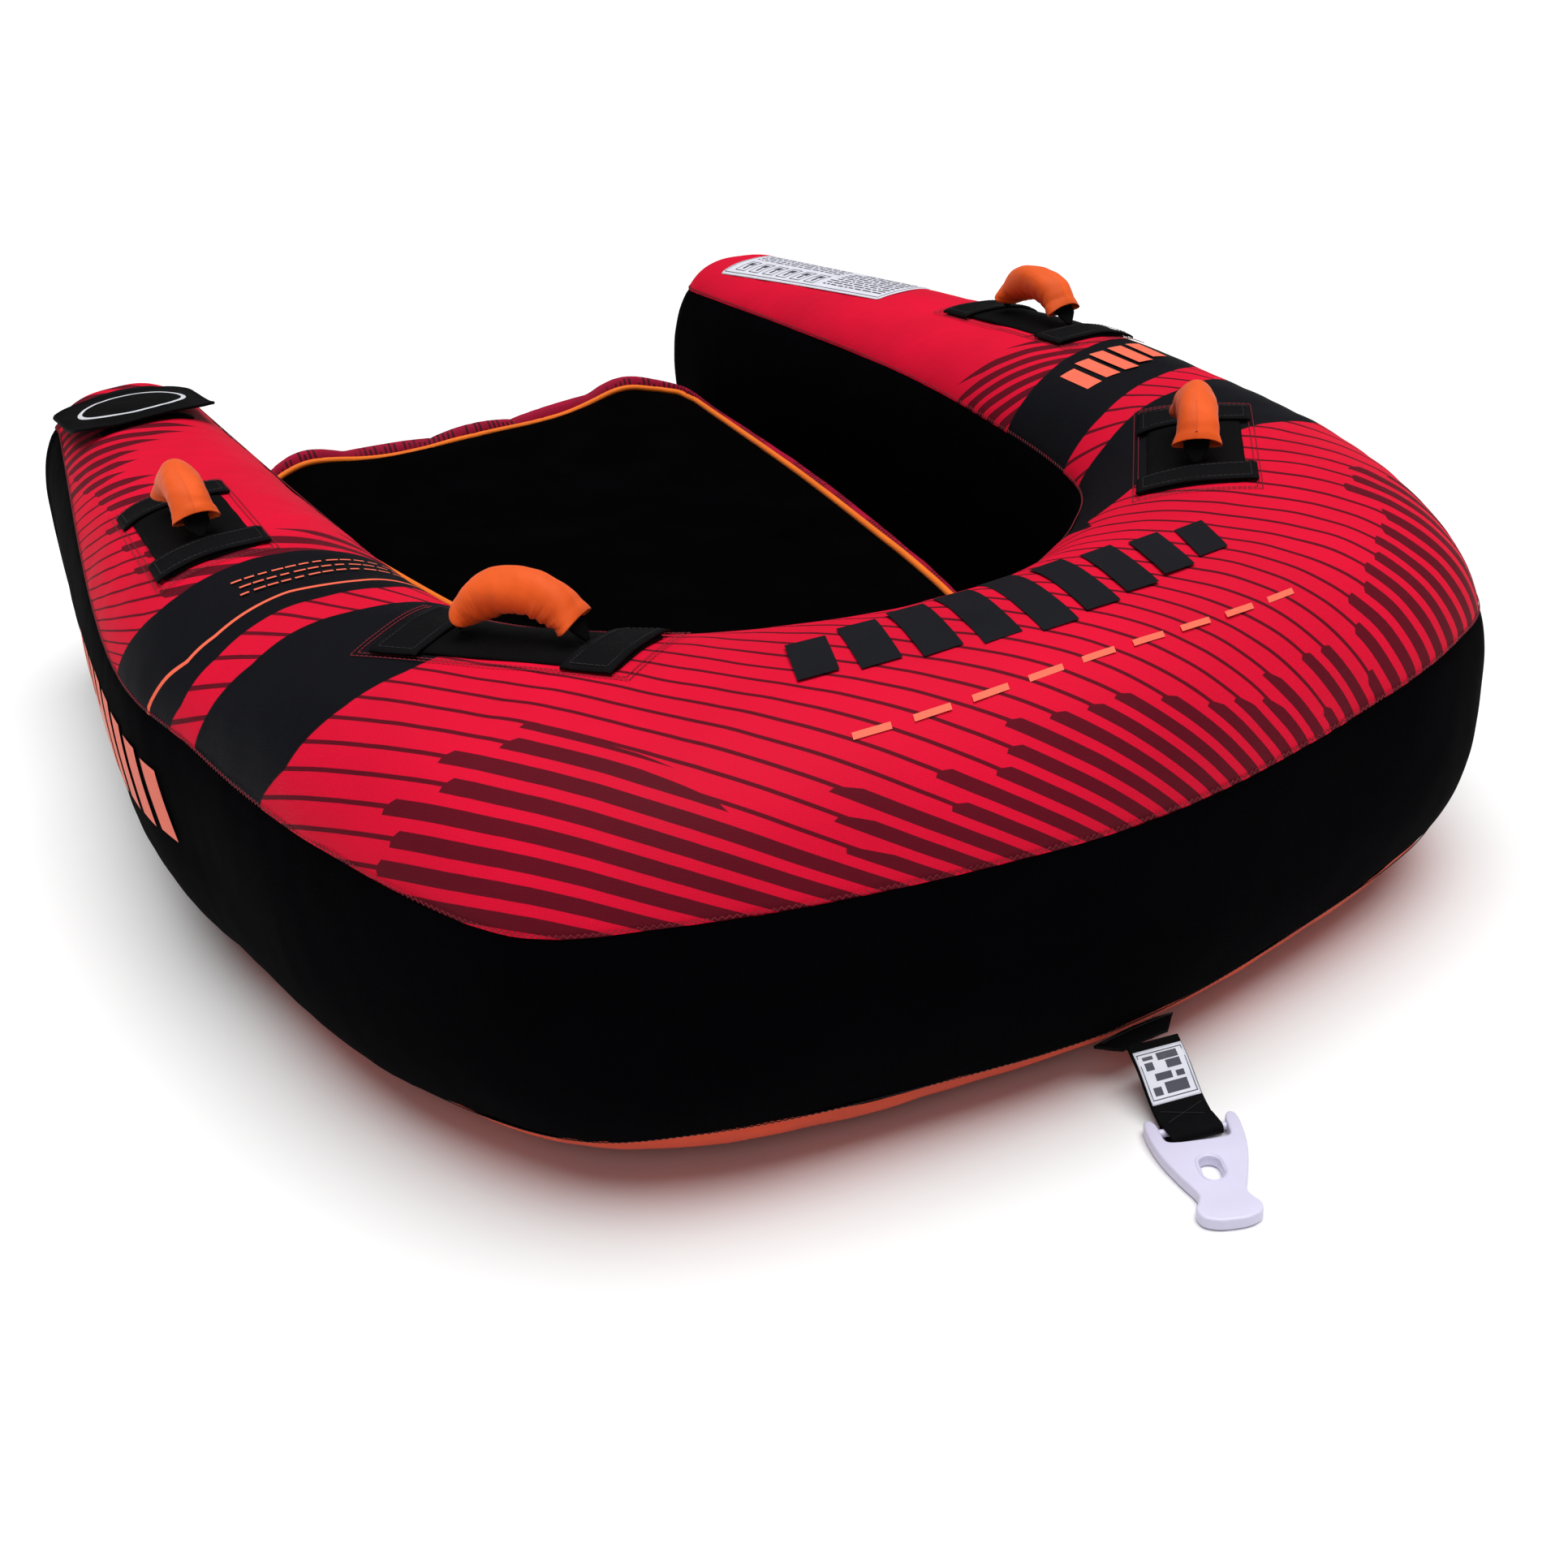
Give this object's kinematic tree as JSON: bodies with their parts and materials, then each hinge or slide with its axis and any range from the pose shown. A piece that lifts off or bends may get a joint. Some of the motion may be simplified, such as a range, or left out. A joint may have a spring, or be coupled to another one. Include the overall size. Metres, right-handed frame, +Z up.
{
  "type": "towable tube",
  "caption": "Inflatable towable tube: a U-shaped fabric-covered tube round an open-backed cockpit with an inflated floor, soft grips on top and a tow strap with a quick connector at the nose",
  "frame": {"origin": "On the ground, under the middle of the whole object's bounding box.", "axes": "+Z up, +Y from the nose towards the open rear of the cockpit, +X to the right-hand leg seen from the nose looking back from above with the nose nearest; the tow end is at -Y."},
  "size_m": [1.4084, 1.8839, 0.4869],
  "materials": {
    "red_cloth": "woven polyester cover with a printed stripe pattern",
    "black_cloth": "woven polyester cover, black",
    "orange_cloth": "woven polyester, bright orange",
    "rust_cloth": "woven polyester bottom, orange-red",
    "webbing_black": "woven black webbing",
    "foam": "closed-cell foam",
    "pvc": "welded PVC bladder",
    "label_white": "printed vinyl label",
    "valve_plastic": "moulded plastic",
    "seal_rubber": "soft seal",
    "zip_plastic": "moulded zip teeth",
    "zip_metal": "painted zinc",
    "connector_white": "moulded nylon, pale"
  },
  "bodies": {
    "tube": {"main_bladder": "pvc", "floor_bladder": "pvc", "top_panel": "red_cloth", "outer_side_panel": "black_cloth", "inner_side_panel": "black_cloth", "bottom_panel": "rust_cloth", "end_panel_left": "black_cloth", "end_panel_right": "black_cloth", "floor_top_panel": "black_cloth", "floor_side_band": "red_cloth", "floor_piping": "orange_cloth", "handle_pad_fl": "webbing_black", "handle_pad_fr": "webbing_black", "handle_pad_rl": "webbing_black", "handle_pad_rr": "webbing_black", "handle_bars_fl": "webbing_black", "handle_bars_fr": "webbing_black", "handle_bars_rl": "webbing_black", "handle_bars_rr": "webbing_black", "info_label": "label_white", "flap_tape": "webbing_black", "valve_base": "valve_plastic", "valve_seal": "seal_rubber", "floor_valve_base": "valve_plastic", "zip_tape": "webbing_black", "zip_teeth": "zip_plastic", "tow_patch": "webbing_black"},
    "handle_fl": {"handle_web_fl": "webbing_black", "handle_foam_fl": "foam", "handle_sleeve_fl": "orange_cloth"},
    "handle_fr": {"handle_web_fr": "webbing_black", "handle_foam_fr": "foam", "handle_sleeve_fr": "orange_cloth"},
    "handle_rl": {"handle_web_rl": "webbing_black", "handle_foam_rl": "foam", "handle_sleeve_rl": "orange_cloth"},
    "handle_rr": {"handle_web_rr": "webbing_black", "handle_foam_rr": "foam", "handle_sleeve_rr": "orange_cloth"},
    "valve_flap": {"valve_flap": "black_cloth"},
    "valve_cap": {"valve_cap": "valve_plastic"},
    "floor_valve_cap": {"floor_valve_cap": "valve_plastic"},
    "zip_slider": {"zip_slider": "zip_metal"},
    "zip_puller": {"zip_puller": "zip_metal"},
    "tow_strap": {"tow_strap": "webbing_black", "strap_label": "label_white"},
    "tow_connector": {"tow_connector": "connector_white"}
  },
  "joints": [
    {"name": "handle_fl_tilt", "type": "hinge", "parent": "tube", "child": "handle_fl", "pos_m": [-0.38748, -0.33271, 0.41839], "axis": [-0.6293, 0.7771, 0], "range_deg": [-30, 30], "stiffness_Nm_per_rad": 0.08},
    {"name": "handle_fr_tilt", "type": "hinge", "parent": "tube", "child": "handle_fr", "pos_m": [0.38748, -0.33271, 0.41839], "axis": [0.6293, 0.7771, 0], "range_deg": [-30, 30], "stiffness_Nm_per_rad": 0.08},
    {"name": "handle_rl_tilt", "type": "hinge", "parent": "tube", "child": "handle_rl", "pos_m": [-0.56017, 0.1834, 0.42188], "axis": [0.0436, 0.999, 0], "range_deg": [-30, 30], "stiffness_Nm_per_rad": 0.08},
    {"name": "handle_rr_tilt", "type": "hinge", "parent": "tube", "child": "handle_rr", "pos_m": [0.56017, 0.1834, 0.42188], "axis": [-0.0436, 0.999, 0], "range_deg": [-30, 30], "stiffness_Nm_per_rad": 0.08},
    {"name": "tow_strap_lift", "type": "hinge", "parent": "tube", "child": "tow_strap", "pos_m": [0, -0.7466, 0.05], "axis": [-0.9781, 0.2079, 0], "range_deg": [0, 60]},
    {"name": "tow_connector_swing", "type": "hinge", "parent": "tow_strap", "child": "tow_connector", "pos_m": [-0.01622, -0.8229, 0.0063], "axis": [-0.9135, 0.4067, 0], "range_deg": [-60, 40]},
    {"name": "valve_flap_lift", "type": "hinge", "parent": "tube", "child": "valve_flap", "pos_m": [-0.5, 0.8214, 0.41019], "axis": [-1, 0, 0], "range_deg": [0, 110]},
    {"name": "valve_cap_turn", "type": "hinge", "parent": "tube", "child": "valve_cap", "pos_m": [-0.5, 0.7374, 0.40419], "axis": [0, 0, 1], "range_deg": [0, 270]},
    {"name": "floor_valve_cap_turn", "type": "hinge", "parent": "tube", "child": "floor_valve_cap", "pos_m": [-0.15, 0.90236, 0.11], "axis": [0, 1, 0], "range_deg": [0, 270]},
    {"name": "zip_slider_run", "type": "slide", "parent": "tube", "child": "zip_slider", "axis": [0, 1, 0], "range_m": [0, 0.49]},
    {"name": "zip_puller_swing", "type": "hinge", "parent": "zip_slider", "child": "zip_puller", "pos_m": [-0.3534, 0.3634, 0.276], "axis": [0, -1, 0], "range_deg": [0, 150]}
  ]
}
